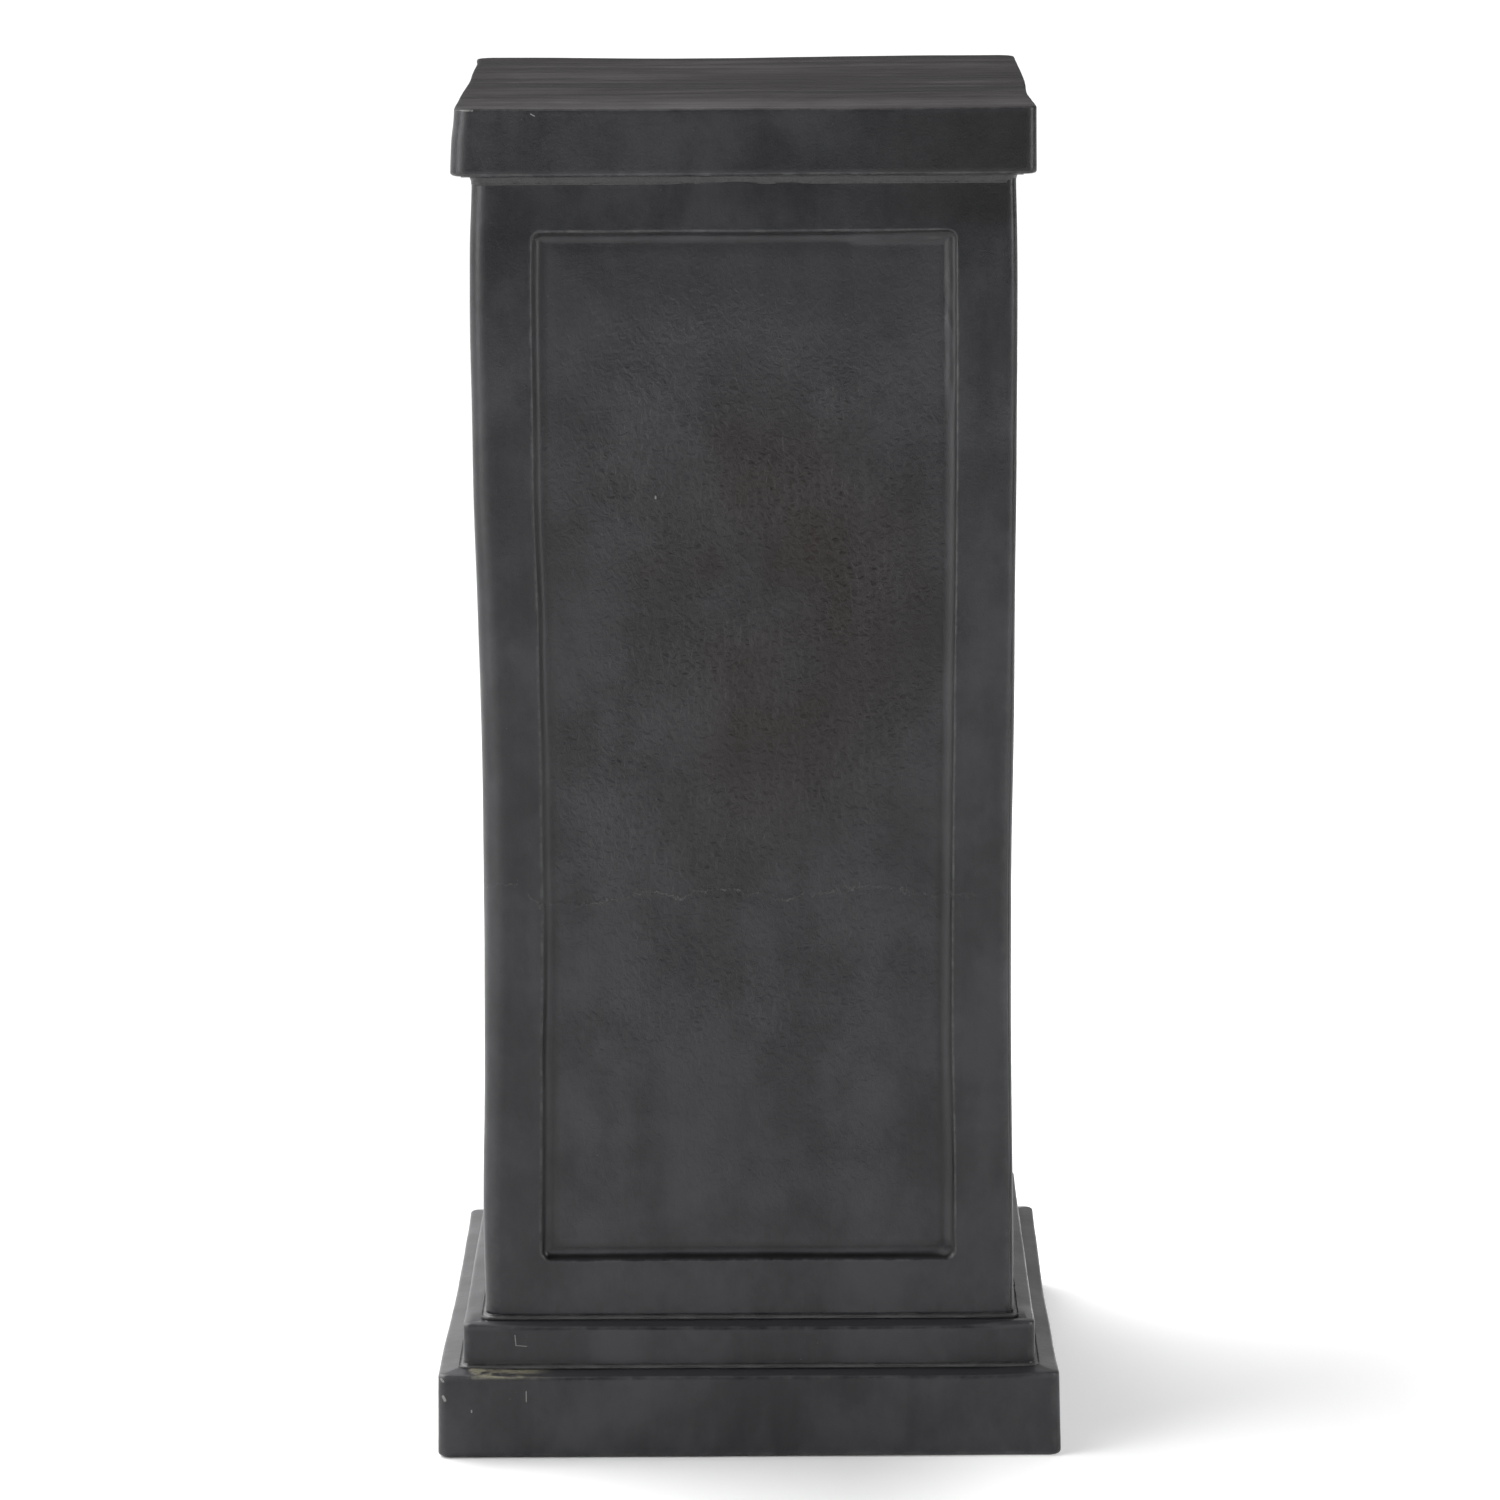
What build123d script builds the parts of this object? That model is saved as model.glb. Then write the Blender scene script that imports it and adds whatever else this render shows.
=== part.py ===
"""Display plinth: a hollow pedestal of hand-laid resin shells over timber frames.

Frame: millimetres, +Z up, front towards -Y. The origin is the centre of the face it stands on.
Every physical piece is one node. Shells, battens and boards meet face to face, and every screw
fills the hole that is cut for it.
"""

from build123d import *

import os

# ---- driving dimensions -------------------------------------------------------------------
HEIGHT = 762.0  # 30 in overall
PLINTH_WIDTH = 350.0  # at the upper arris; the skirt flares a little towards the floor
PLINTH_FLARE = 3.0
PLINTH_HEIGHT = 48.6
STEP_WIDTH = 324.0
STEP_HEIGHT = 25.4
SHAFT_WIDTH = 300.0
CAP_WIDTH = 320.0
CAP_RIM_HEIGHT = 37.4
SOFFIT_DROP = 0.8  # the soffit slopes down this far from the rim to the shaft
LEDGE_FALL = {"plinth": 1.6, "step": 1.4}  # how far each ledge falls outwards
CORNER_RADIUS = {"plinth": 5.0, "step": 4.0, "shaft": 6.0, "cap": 9.0}
ARRIS = 2.0
FOOT_ARRIS = 3.0

TIER_WALL = 6.0  # laminate thickness of the cap, step and plinth shells
SHAFT_WALL = 5.0
FLANGE_WIDTH = 30.0  # inward flanges of the shaft shells, from the shaft's face

PANEL_WIDTH = 235.0  # sunk panel, at its outer arris
PANEL_HEIGHT = 586.6
PANEL_CENTRE_Z = 401.0
PANEL_DEPTH = 4.0
PANEL_BORDER = 5.4  # width of the sloped border all round
PANEL_CORNER = 6.0

# ---- reinforcement, timber, board and fastener stock ---------------------------------------
SHAFT_BATTEN_WIDTH = 30.0
SHAFT_BATTEN_HEIGHT = 18.0
CAP_BATTEN_WIDTH = 40.0
STEP_BATTEN_WIDTH = 40.0
BASE_BATTEN_WIDTH = 45.0
BASE_BATTEN_HEIGHT = 20.0
CORNER_BLOCK = 60.0
DECK_BOARD = 12.0
PAD_RADIUS = 15.0
PAD_THICKNESS = 3.0
TAPE = 2.0  # thickness of the resin-soaked glass tape over a seam
TAPE_LEG = 20.0
MAT_BAND_WIDTH = 204.0
MAT_BAND_HEIGHT = 60.0
MAT_BAND_THICKNESS = 1.5
MAT_BAND_Z = 322.0
BEAD_LEG = 2.8  # paste beads, along each of the two faces of their corner
CAP_BEAD_REACH = 1.4  # the bead under the cap is wiped down: narrow on the soffit,
CAP_BEAD_DROP = 4.0  # tall on the shaft
BEAD_BELLY = 0.4  # share of both legs that is left where a bead's face is most hollow

# ---- levels, from the floor up ------------------------------------------------------------
STEP_Z = PLINTH_HEIGHT
SHAFT_Z = STEP_Z + STEP_HEIGHT
RIM_Z = HEIGHT - CAP_RIM_HEIGHT
SOFFIT_Z = RIM_Z - SOFFIT_DROP  # where the cap sits on the shaft
RING_TOP_Z = SOFFIT_Z + TIER_WALL
DECK_TOP_Z = HEIGHT - TIER_WALL
DECK_Z = DECK_TOP_Z - DECK_BOARD
HEAD_BATTEN_Z = SOFFIT_Z - TIER_WALL - SHAFT_BATTEN_HEIGHT
FOOT_BATTEN_Z = SHAFT_Z + TIER_WALL
BASE_BATTEN_Z = STEP_Z - TIER_WALL - BASE_BATTEN_HEIGHT

# ---- half widths --------------------------------------------------------------------------
PLINTH_INNER = PLINTH_WIDTH / 2 - TIER_WALL
STEP_INNER = STEP_WIDTH / 2 - TIER_WALL
SHAFT_OUTER = SHAFT_WIDTH / 2
SHAFT_INNER = SHAFT_OUTER - SHAFT_WALL
SHAFT_INNER_CORNER = 4.0  # where the seam tape lies
CAP_INNER = CAP_WIDTH / 2 - TIER_WALL
FLANGE_INNER = SHAFT_OUTER - FLANGE_WIDTH
OPENING = STEP_INNER - STEP_BATTEN_WIDTH  # half width of the square hole through both tiers

# ---- screws -------------------------------------------------------------------------------
SCREW_SPACING = 80.0  # either side of the middle of each side
FRAME_SCREW_INSET = 130.0  # from the plinth's axis, cap and shaft screws
BASE_SCREW_INSET = 146.0
SCREW_RADIUS = 2.25
CAP_SCREW_LENGTH = 50.0
SHAFT_SCREW_LENGTH = 40.0
BASE_SCREW_LENGTH = 38.0
BLOCK_SCREW_LENGTH = 32.0
PAD_SCREW_LENGTH = 15.0
PAD_SCREW_RECESS = 1.0
PAD_CENTRE = 146.0
BLOCK_SCREW_NEAR = 118.0  # of a block screw's two coordinates, the one along its batten
BLOCK_SCREW_FAR = 153.0

SIDES = {"front": 0, "right": 90, "rear": 180, "left": 270}  # turned about Z from the front
CORNERS = {"front_right": 0, "rear_right": 90, "rear_left": 180, "front_left": 270}


# ---- shapes used more than once -----------------------------------------------------------
def square(width, corner, z):
    """A square outline with rounded corners at height z."""
    return Pos(0, 0, z) * RectangleRounded(width, width, corner)


def block(size_x, size_y, z_low, z_high):
    """A plain block between two levels, centred on the plinth's axis."""
    return Pos(0, 0, (z_low + z_high) / 2) * Box(size_x, size_y, z_high - z_low)


def frustum(lower, upper):
    """The straight-sided solid between two outlines."""
    return loft([lower, upper], ruled=True)


def turned(solid, turns):
    """Copies of a front piece turned about the plinth's axis, by name."""
    return {name: Rot(0, 0, turn) * solid for name, turn in turns.items()}


def batten_square(name, outer, width, z_low, z_high, corner=0):
    """Four battens butted into a square: front and rear run through, the others fit between.

    corner rounds the free ends to the shell that they lie in.
    """
    through = block(2 * outer, width, z_low, z_high)
    between = block(width, 2 * (outer - width), z_low, z_high)
    offset = outer - width / 2
    if corner:
        ends = through.edges().filter_by(Axis.Z).group_by(Axis.Y)[0]
        through = fillet(ends, corner)
    return {
        f"{name}_batten_front": Pos(0, -offset, 0) * through,
        f"{name}_batten_rear": Rot(0, 0, 180) * Pos(0, -offset, 0) * through,
        f"{name}_batten_left": Pos(-offset, 0, 0) * between,
        f"{name}_batten_right": Pos(offset, 0, 0) * between,
    }


def screw(x, y, z, length):
    """An upright countersunk screw, driven upwards: its head is at z."""
    head = SCREW_RADIUS
    tip = 2 * SCREW_RADIUS
    standing = (Align.CENTER, Align.CENTER, Align.MIN)
    cone = Cone(2 * SCREW_RADIUS, SCREW_RADIUS, head, align=standing)
    shank = Cylinder(SCREW_RADIUS, length - head - tip, align=standing)
    point = Cone(SCREW_RADIUS, 0.2 * SCREW_RADIUS, tip, align=standing)
    return Pos(x, y, z) * (cone + Pos(0, 0, head) * shank + Pos(0, 0, length - tip) * point)


def screws_on_every_side(inset, z, length):
    """Two screws in each side, either side of its middle."""
    pair = [screw(x, -inset, z, length) for x in (-SCREW_SPACING, SCREW_SPACING)]
    return [Rot(0, 0, turn) * one for turn in SIDES.values() for one in pair]


def bead(width, corner, z, reach=BEAD_LEG, rise=BEAD_LEG):
    """A hollow-faced bead of paste in the corner between an upright face and a level one."""
    half = width / 2
    toe, heel, head = (half + reach, z), (half, z), (half, z + rise)
    belly = (half + BEAD_BELLY * reach, z + BEAD_BELLY * rise)
    profile = Plane.XZ * make_face(Polyline(toe, heel, head) + ThreePointArc(head, belly, toe))
    return sweep(profile, path=square(width, corner, z).wire())


# ---- shells -------------------------------------------------------------------------------
def tier(width, flare, z_low, z_high, fall, corner, flat_width, inner):
    """A foot tier: a skirt, a ledge that falls outwards, and a deck with a square hole."""
    z_arris = z_high - fall
    body = frustum(square(width + flare, corner, z_low), square(width, corner, z_arris))
    body += frustum(square(width, corner, z_arris), square(flat_width, corner, z_high))
    rim = [edge for edge in body.edges() if abs(edge.center().Z - z_arris) < 0.01]
    body = fillet(rim, ARRIS)
    if flare:
        body = fillet(body.edges().group_by(Axis.Z)[0], FOOT_ARRIS)
    body -= block(2 * inner, 2 * inner, z_low - 1, z_high - TIER_WALL)
    return body - block(2 * OPENING, 2 * OPENING, z_low, z_high + 1)


def plinth_shell():
    """Lower foot tier, open underneath."""
    flat = STEP_WIDTH + 2 * BEAD_LEG
    fall, corner = LEDGE_FALL["plinth"], CORNER_RADIUS["plinth"]
    return tier(PLINTH_WIDTH, PLINTH_FLARE, 0, STEP_Z, fall, corner, flat, PLINTH_INNER)


def step_shell():
    """Upper foot tier, standing on the plinth shell's deck."""
    flat = SHAFT_WIDTH + 2 * BEAD_LEG
    fall, corner = LEDGE_FALL["step"], CORNER_RADIUS["step"]
    return tier(STEP_WIDTH, 0, STEP_Z, SHAFT_Z, fall, corner, flat, STEP_INNER)


def panel_sink(face, growth):
    """What one sunk panel takes out of a flat front wall at this distance from the axis."""
    width = PANEL_WIDTH + 2 * growth
    height = PANEL_HEIGHT + 2 * growth
    wall = Plane(origin=(0, -face, PANEL_CENTRE_Z), x_dir=(1, 0, 0), z_dir=(0, 1, 0))
    mouth = wall * RectangleRounded(width, height, PANEL_CORNER)
    floor_size = (width - 2 * PANEL_BORDER, height - 2 * PANEL_BORDER)
    floor = wall.offset(PANEL_DEPTH) * RectangleRounded(*floor_size, PANEL_CORNER / 2)
    return frustum(mouth, floor)


def panelled_column(half, corner, z_low, z_high, growth):
    """A square column with a sunk panel in each face."""
    column = extrude(square(2 * half, corner, z_low), z_high - z_low)
    for sink in turned(panel_sink(half, growth), SIDES).values():
        column -= sink
    return column


def shaft_halves():
    """The two L-shaped half shells, parted along a diagonal so that both draw from a mould."""
    outer = panelled_column(SHAFT_OUTER, CORNER_RADIUS["shaft"], SHAFT_Z, SOFFIT_Z, 0)
    inner_z = (SHAFT_Z + TIER_WALL, SOFFIT_Z - TIER_WALL)
    inner = panelled_column(SHAFT_INNER, SHAFT_INNER_CORNER, *inner_z, PANEL_BORDER / 3)
    tube = outer - inner - block(2 * FLANGE_INNER, 2 * FLANGE_INNER, SHAFT_Z, SOFFIT_Z)
    front_side = Pos(0, -HEIGHT / 2, HEIGHT / 2) * Box(HEIGHT, HEIGHT, HEIGHT)
    return {
        "shaft_shell_front_left": tube & Rot(0, 0, -45) * front_side,
        "shaft_shell_rear_right": tube & Rot(0, 0, 135) * front_side,
    }


def cap_shell():
    """Top skin and rim, open underneath until the soffit ring closes it."""
    corner = CORNER_RADIUS["cap"]
    body = extrude(square(CAP_WIDTH, corner, RIM_Z), CAP_RIM_HEIGHT)
    body = fillet(body.edges().group_by(Axis.Z)[0], ARRIS)
    body = fillet(body.edges().group_by(Axis.Z)[-1], ARRIS / 2)
    return body - block(2 * CAP_INNER, 2 * CAP_INNER, RIM_Z - 1, DECK_TOP_Z)


def soffit_ring():
    """Closes the cap underneath: flat over the shaft's flange, sloping up to the rim outside it."""
    flat = SHAFT_WIDTH + 2 * CAP_BEAD_REACH
    rim = 2 * CAP_INNER
    edge_z = SOFFIT_Z + SOFFIT_DROP * (rim - flat) / (CAP_WIDTH - flat)
    body = frustum(
        Pos(0, 0, SOFFIT_Z) * Rectangle(flat, flat),
        Pos(0, 0, edge_z) * Rectangle(rim, rim),
    )
    body += block(rim, rim, edge_z, RING_TOP_Z)
    return body - block(2 * FLANGE_INNER, 2 * FLANGE_INNER, SOFFIT_Z, RING_TOP_Z)


# ---- reinforcement inside the shaft --------------------------------------------------------
def seam_tapes():
    """Angle strips of glass tape over the two shaft seams, between the head and foot battens."""
    z_low = FOOT_BATTEN_Z + SHAFT_BATTEN_HEIGHT
    column = extrude(square(2 * SHAFT_INNER, SHAFT_INNER_CORNER, z_low), HEAD_BATTEN_Z - z_low)
    column -= block(2 * (SHAFT_INNER - TAPE), 2 * (SHAFT_INNER - TAPE), z_low, HEAD_BATTEN_Z)
    centre = SHAFT_INNER - TAPE_LEG / 2
    corner = Pos(centre, -centre, 0) * block(TAPE_LEG, TAPE_LEG, z_low, HEAD_BATTEN_Z)
    tape = column & corner
    return {"seam_tape_front_right": tape, "seam_tape_rear_left": Rot(0, 0, 180) * tape}


def mat_bands():
    """A band of glass mat across the back of each panel."""
    panel_back = SHAFT_INNER - PANEL_DEPTH
    z_low = MAT_BAND_Z - MAT_BAND_HEIGHT / 2
    band = block(MAT_BAND_WIDTH, MAT_BAND_THICKNESS, z_low, z_low + MAT_BAND_HEIGHT)
    bands = turned(Pos(0, -(panel_back - MAT_BAND_THICKNESS / 2), 0) * band, SIDES)
    return {f"mat_band_{side}": band for side, band in bands.items()}


# ---- timber and boards ---------------------------------------------------------------------
def deck_board():
    """Plywood under the cap's top skin."""
    return block(2 * CAP_INNER, 2 * CAP_INNER, DECK_Z, DECK_TOP_Z)


def battens():
    """The five squares of battens, from the cap down."""
    head_top = HEAD_BATTEN_Z + SHAFT_BATTEN_HEIGHT
    foot_top = FOOT_BATTEN_Z + SHAFT_BATTEN_HEIGHT
    base_top = BASE_BATTEN_Z + BASE_BATTEN_HEIGHT
    step_top = SHAFT_Z - TIER_WALL
    in_shaft = (SHAFT_INNER, SHAFT_BATTEN_WIDTH)
    return {
        **batten_square("cap", CAP_INNER, CAP_BATTEN_WIDTH, RING_TOP_Z, DECK_Z),
        **batten_square("head", *in_shaft, HEAD_BATTEN_Z, head_top, SHAFT_INNER_CORNER),
        **batten_square("foot", *in_shaft, FOOT_BATTEN_Z, foot_top, SHAFT_INNER_CORNER),
        **batten_square("step", STEP_INNER, STEP_BATTEN_WIDTH, STEP_Z, step_top),
        **batten_square("base", PLINTH_INNER, BASE_BATTEN_WIDTH, BASE_BATTEN_Z, base_top),
    }


def corner_blocks():
    """Blocks that tie the base battens together and carry the foot pads."""
    centre = PLINTH_INNER - CORNER_BLOCK / 2
    one = block(CORNER_BLOCK, CORNER_BLOCK, PAD_THICKNESS, BASE_BATTEN_Z)
    blocks = turned(Pos(centre, -centre, 0) * one, CORNERS)
    return {f"corner_block_{corner}": one for corner, one in blocks.items()}


def foot_pads():
    """Rubber discs, level with the skirt's edge."""
    disc = Pos(PAD_CENTRE, -PAD_CENTRE, PAD_THICKNESS / 2) * Cylinder(PAD_RADIUS, PAD_THICKNESS)
    return {f"foot_pad_{corner}": pad for corner, pad in turned(disc, CORNERS).items()}


# ---- fasteners ------------------------------------------------------------------------------
def corner_screws(x, y, z, length):
    """One screw at the same place in every corner block."""
    return [Rot(0, 0, turn) * screw(x, y, z, length) for turn in CORNERS.values()]


def fasteners():
    """Groups of equal screws, each with the beginnings of the names that they pass through."""
    near, far = BLOCK_SCREW_NEAR, BLOCK_SCREW_FAR
    block_screws = corner_screws(near, -far, PAD_THICKNESS, BLOCK_SCREW_LENGTH)
    block_screws += corner_screws(far, -near, PAD_THICKNESS, BLOCK_SCREW_LENGTH)
    return {
        "cap_screws": (
            screws_on_every_side(FRAME_SCREW_INSET, HEAD_BATTEN_Z, CAP_SCREW_LENGTH),
            ("head_batten", "shaft_shell", "soffit_ring", "cap_batten", "deck_board"),
        ),
        "shaft_screws": (
            screws_on_every_side(FRAME_SCREW_INSET, STEP_Z, SHAFT_SCREW_LENGTH),
            ("step_batten", "step_shell", "shaft_shell", "foot_batten"),
        ),
        "base_screws": (
            screws_on_every_side(BASE_SCREW_INSET, BASE_BATTEN_Z, BASE_SCREW_LENGTH),
            ("base_batten", "plinth_shell", "step_batten"),
        ),
        "block_screws": (block_screws, ("corner_block", "base_batten")),
        "pad_screws": (
            corner_screws(PAD_CENTRE, -PAD_CENTRE, PAD_SCREW_RECESS, PAD_SCREW_LENGTH),
            ("foot_pad", "corner_block"),
        ),
    }


# ---- assembly -------------------------------------------------------------------------------
def assembly():
    """Every piece by node name, with the screw holes cut."""
    shaft = (SHAFT_WIDTH, CORNER_RADIUS["shaft"])
    pieces = {
        "cap_shell": cap_shell(),
        "soffit_ring": soffit_ring(),
        "cap_bead": bead(*shaft, SOFFIT_Z, reach=CAP_BEAD_REACH, rise=-CAP_BEAD_DROP),
        "shaft_bead": bead(*shaft, SHAFT_Z),
        "step_shell": step_shell(),
        "step_bead": bead(STEP_WIDTH, CORNER_RADIUS["step"], STEP_Z),
        "plinth_shell": plinth_shell(),
        "deck_board": deck_board(),
        **shaft_halves(),
        **seam_tapes(),
        **mat_bands(),
        **battens(),
        **corner_blocks(),
        **foot_pads(),
    }
    for name, (screws, hosts) in fasteners().items():
        for host in [node for node in pieces if node.startswith(hosts)]:
            for one in screws:
                pieces[host] -= one
        pieces[name] = Compound(children=screws)
    return pieces


os.makedirs("parts", exist_ok=True)
for node, shape in assembly().items():
    export_step(shape, f"parts/{node}.step")
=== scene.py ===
"""Looks of the display plinth: hand-laid shells with their warps and marks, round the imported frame."""

import itertools
import math

import bpy
import numpy as np
from mathutils import Matrix, Vector


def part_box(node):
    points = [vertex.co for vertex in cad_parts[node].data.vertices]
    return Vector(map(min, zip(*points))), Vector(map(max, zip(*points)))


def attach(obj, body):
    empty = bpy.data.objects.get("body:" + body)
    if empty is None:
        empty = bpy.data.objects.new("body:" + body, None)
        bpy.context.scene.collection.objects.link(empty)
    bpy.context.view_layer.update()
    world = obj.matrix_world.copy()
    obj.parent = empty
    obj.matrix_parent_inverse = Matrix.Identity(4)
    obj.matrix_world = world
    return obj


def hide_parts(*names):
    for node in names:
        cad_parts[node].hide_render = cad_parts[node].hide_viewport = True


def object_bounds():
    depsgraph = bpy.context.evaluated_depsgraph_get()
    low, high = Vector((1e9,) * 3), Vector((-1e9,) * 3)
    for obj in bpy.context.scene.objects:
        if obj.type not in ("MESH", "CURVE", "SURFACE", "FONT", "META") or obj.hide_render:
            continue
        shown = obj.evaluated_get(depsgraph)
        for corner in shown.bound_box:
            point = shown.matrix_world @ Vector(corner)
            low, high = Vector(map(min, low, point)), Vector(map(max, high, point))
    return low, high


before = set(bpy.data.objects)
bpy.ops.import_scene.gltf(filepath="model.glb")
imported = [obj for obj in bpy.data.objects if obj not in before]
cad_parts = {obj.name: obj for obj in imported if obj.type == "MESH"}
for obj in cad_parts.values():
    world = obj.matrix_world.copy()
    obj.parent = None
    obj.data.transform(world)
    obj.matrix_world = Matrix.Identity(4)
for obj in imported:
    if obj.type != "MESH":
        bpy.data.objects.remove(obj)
CAD_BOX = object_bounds()

MM = 0.001
FRONT, RIGHT, REAR, LEFT = range(4)


# ---- sizes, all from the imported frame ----
def node_box(name):
    """Lowest and highest corner of a node, as numpy arrays."""
    low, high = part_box(name)
    return np.array(low), np.array(high)


CAP_LOW, CAP_HIGH = node_box("cap_shell")
RING_LOW, RING_HIGH = node_box("soffit_ring")
STEP_LOW, STEP_HIGH = node_box("step_shell")
PLINTH_LOW, PLINTH_HIGH = node_box("plinth_shell")
SHAFT_LOW, _ = node_box("shaft_shell_front_left")
_, BOARD_HIGH = node_box("deck_board")
BAND_LOW, _ = node_box("mat_band_front")
TOP_Z, RIM_Z = CAP_HIGH[2], CAP_LOW[2]
SOFFIT_Z, RING_TOP_Z = RING_LOW[2], RING_HIGH[2]
SHAFT_Z, STEP_Z = STEP_HIGH[2], STEP_LOW[2]
CAP_HALF = CAP_HIGH[0]
CAP_INNER = BOARD_HIGH[0]
SHAFT_HALF = -SHAFT_LOW[0]
STEP_HALF = STEP_HIGH[0]
STEP_INNER = node_box("step_batten_front")[1][0]
PLINTH_FOOT = PLINTH_HIGH[0]
PLINTH_INNER = node_box("base_batten_front")[1][0]
TIER_WALL = TOP_Z - BOARD_HIGH[2]
SHAFT_WALL = SHAFT_HALF - node_box("foot_batten_front")[1][0]
OPENING = STEP_INNER - (node_box("step_batten_right")[1][0] - node_box("step_batten_right")[0][0])
SHAFT_INNER = SHAFT_HALF - SHAFT_WALL
FLANGE_WIDTH = 30 * MM
FLANGE_INNER = SHAFT_HALF - FLANGE_WIDTH
BEAD_LEG = node_box("shaft_bead")[1][0] - SHAFT_HALF
CAP_BEAD_REACH = node_box("cap_bead")[1][0] - SHAFT_HALF
CAP_BEAD_DROP = SOFFIT_Z - node_box("cap_bead")[0][2]
PANEL_HALF_WIDTH = 235 * MM / 2
PANEL_LOW, PANEL_TOP = 107.7 * MM, 694.3 * MM
PANEL_BORDER, PANEL_CORNER = 5.4 * MM, 6 * MM
PANEL_DEPTH = SHAFT_INNER + BAND_LOW[1]  # the mat band lies on the panel's back


# ---- number helpers ----
def smooth_noise(points, size, seed):
    """Smooth noise from -1 to 1 at an array of points, with features of about this size."""
    table = np.random.RandomState(seed).uniform(-1, 1, 8192)
    scaled = np.asarray(points) / size + 1000.0
    cell = np.floor(scaled).astype(np.int64)
    part = scaled - cell
    part = part * part * (3 - 2 * part)
    total = np.zeros(scaled.shape[:-1])
    for corner in itertools.product((0, 1), repeat=3):
        weight = np.prod(np.where(corner, part, 1 - part), axis=-1)
        x, y, z = np.moveaxis(cell + corner, -1, 0)
        total += weight * table[(x * 73856093 ^ y * 19349663 ^ z * 83492791) & 8191]
    return total


def layered_noise(points, size, seed, layers=3):
    """Several sizes of smooth noise added up, from -1 to 1."""
    total = sum(smooth_noise(points, size / 2**k, seed + k) / 2**k for k in range(layers))
    return total / (2 - 2.0 ** (1 - layers))


def ramp(value, low, high):
    """0 at low, 1 at high, and smooth between."""
    part = np.clip((value - low) / (high - low), 0, 1)
    return part * part * (3 - 2 * part)


def hump(value, centre, width):
    """1 at the centre, falling towards 0 over this width on both sides."""
    return np.exp(-(((value - centre) / width) ** 2))


def steps_between(low, high, step, bands=()):
    """Positions from low to high, step apart and closer inside the bands (low, high, step).

    A position that falls just short of a band moves to its start, so that no gap is very thin.
    """
    here, places = low, [low]
    while here < high:
        gap = min([fine for start, end, fine in bands if start <= here < end], default=step)
        starts = [start for start, _, _ in bands if here < start < here + gap]
        if starts and min(starts) - here < 0.3 * gap and len(places) > 1:
            here = places[-1] = min(starts)
            continue
        here = min([here + gap, *starts])
        if high - here < 0.4 * gap:
            here = high
        places.append(here)
    return np.array(places)


def mirrored_steps(half, step, bands=()):
    """Positions from -half to half that are the same on both sides of the middle."""
    right = steps_between(0, half, step, bands)
    return np.concatenate([-right[:0:-1], right])


# ---- square rings and their grids ----
OUTWARD = np.array([(0, -1), (1, 0), (0, 1), (-1, 0)], float)
ALONG = np.array([(1, 0), (0, 1), (-1, 0), (0, -1)], float)


def square_rows(places, outward, corners, levels, sides=(FRONT, RIGHT, REAR, LEFT)):
    """Points of rows of squares with rounded corners.

    places: positions along a side, from -1 to 1. outward and levels: each row's half width and
    height. corners: each row's radii at the corners where the four sides begin. A full ring
    leaves out the shared last place of every side.
    """
    outward, levels, corners = (np.asarray(row, float) for row in (outward, levels, corners))
    points = []
    for order, side in enumerate(sides):
        strip_end = len(sides) < 4 and order == len(sides) - 1
        run = ((places if strip_end else places[:-1]) + 1) * outward[:, None]
        length = 2 * outward[:, None]
        first, last = corners[:, [side]], corners[:, [(side + 1) % 4]]
        turn_in = np.clip(1 - run / first, 0, 1) * math.pi / 4
        turn_out = np.clip(1 - (length - run) / last, 0, 1) * math.pi / 4
        inset = first * (1 - np.cos(turn_in)) + last * (1 - np.cos(turn_out))
        run = np.where(turn_in > 0, first * (1 - np.sin(turn_in)), run)
        run = np.where(turn_out > 0, length - last * (1 - np.sin(turn_out)), run)
        across = (run - outward[:, None])[..., None] * ALONG[side]
        points.append(across + (outward[:, None] - inset)[..., None] * OUTWARD[side])
    flat = np.concatenate(points, axis=1)
    height = np.broadcast_to(levels[:, None, None], (*flat.shape[:2], 1))
    return np.concatenate([flat, height], axis=2)


def strip_faces(rows, columns, closed_rows, closed_columns):
    """Quads between neighbouring rows and columns of a grid of points."""
    row = np.arange(rows if closed_rows else rows - 1)
    column = np.arange(columns if closed_columns else columns - 1)
    row, column = (grid.ravel() for grid in np.meshgrid(row, column, indexing="ij"))
    next_row, next_column = (row + 1) % rows, (column + 1) % columns
    quads = [row * columns + column, row * columns + next_column,
             next_row * columns + next_column, next_row * columns + column]
    return np.stack(quads, axis=-1)


def change(grid, axis, closed):
    """How a grid's values change along an axis, from the neighbours on both sides."""
    if closed:
        return np.roll(grid, -1, axis=axis) - np.roll(grid, 1, axis=axis)
    return np.gradient(grid, axis=axis)


def grid_normals(points, closed_rows, closed_columns):
    """Unit normals at the points of a grid."""
    normal = np.cross(change(points, 1, closed_columns), change(points, 0, closed_rows))
    return normal / np.maximum(np.linalg.norm(normal, axis=2, keepdims=True), 1e-12)


def mesh_piece(name, points, faces, materials, face_material=None, values=None):
    """A new smooth-shaded piece, with one number per point under each name in values."""
    mesh = bpy.data.meshes.new(name)
    places = np.asarray(points).reshape(-1, 3).tolist()
    mesh.from_pydata(places, [], [[int(corner) for corner in face] for face in faces])
    for material in materials:
        mesh.materials.append(material)
    if face_material is not None:
        mesh.polygons.foreach_set("material_index", np.asarray(face_material, np.int32))
    for key, numbers in (values or {}).items():
        layer = mesh.attributes.new(key, "FLOAT", "POINT")
        layer.data.foreach_set("value", np.asarray(numbers, np.float32).ravel())
    mesh.shade_smooth()
    mesh.update()
    piece = bpy.data.objects.new(name, mesh)
    bpy.context.scene.collection.objects.link(piece)
    return piece


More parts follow.
